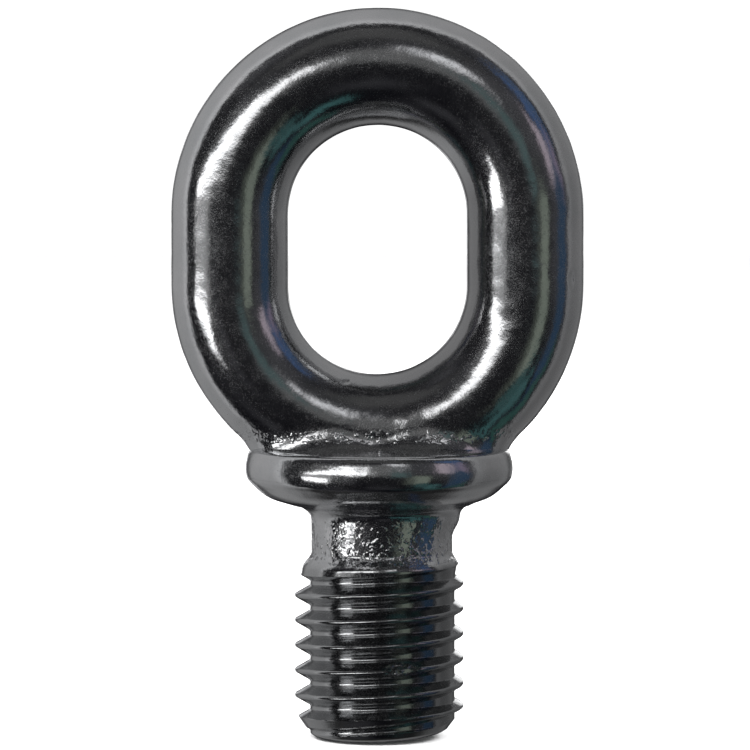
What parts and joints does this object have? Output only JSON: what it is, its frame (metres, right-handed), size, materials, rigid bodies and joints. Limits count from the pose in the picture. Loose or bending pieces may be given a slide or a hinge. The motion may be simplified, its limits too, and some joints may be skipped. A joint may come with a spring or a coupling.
{
  "type": "eye bolt",
  "caption": "Forged eye bolt: oval eye of round bar on a rounded collar, plain neck and short coarse thread.",
  "frame": {"origin": "on the bolt's axis, in the plane of the collar's flat seat", "axes": "+Z along the bolt's axis, up through the eye; the eye lies in the XZ plane, so +Y is along a shackle or hook pin through the eye"},
  "size_m": [0.0288, 0.0188, 0.051],
  "materials": {
    "plated_steel": "polished"
  },
  "bodies": {
    "root": {"eye": "plated_steel", "collar": "plated_steel", "neck": "plated_steel", "threaded_end": "plated_steel"}
  },
  "joints": []
}
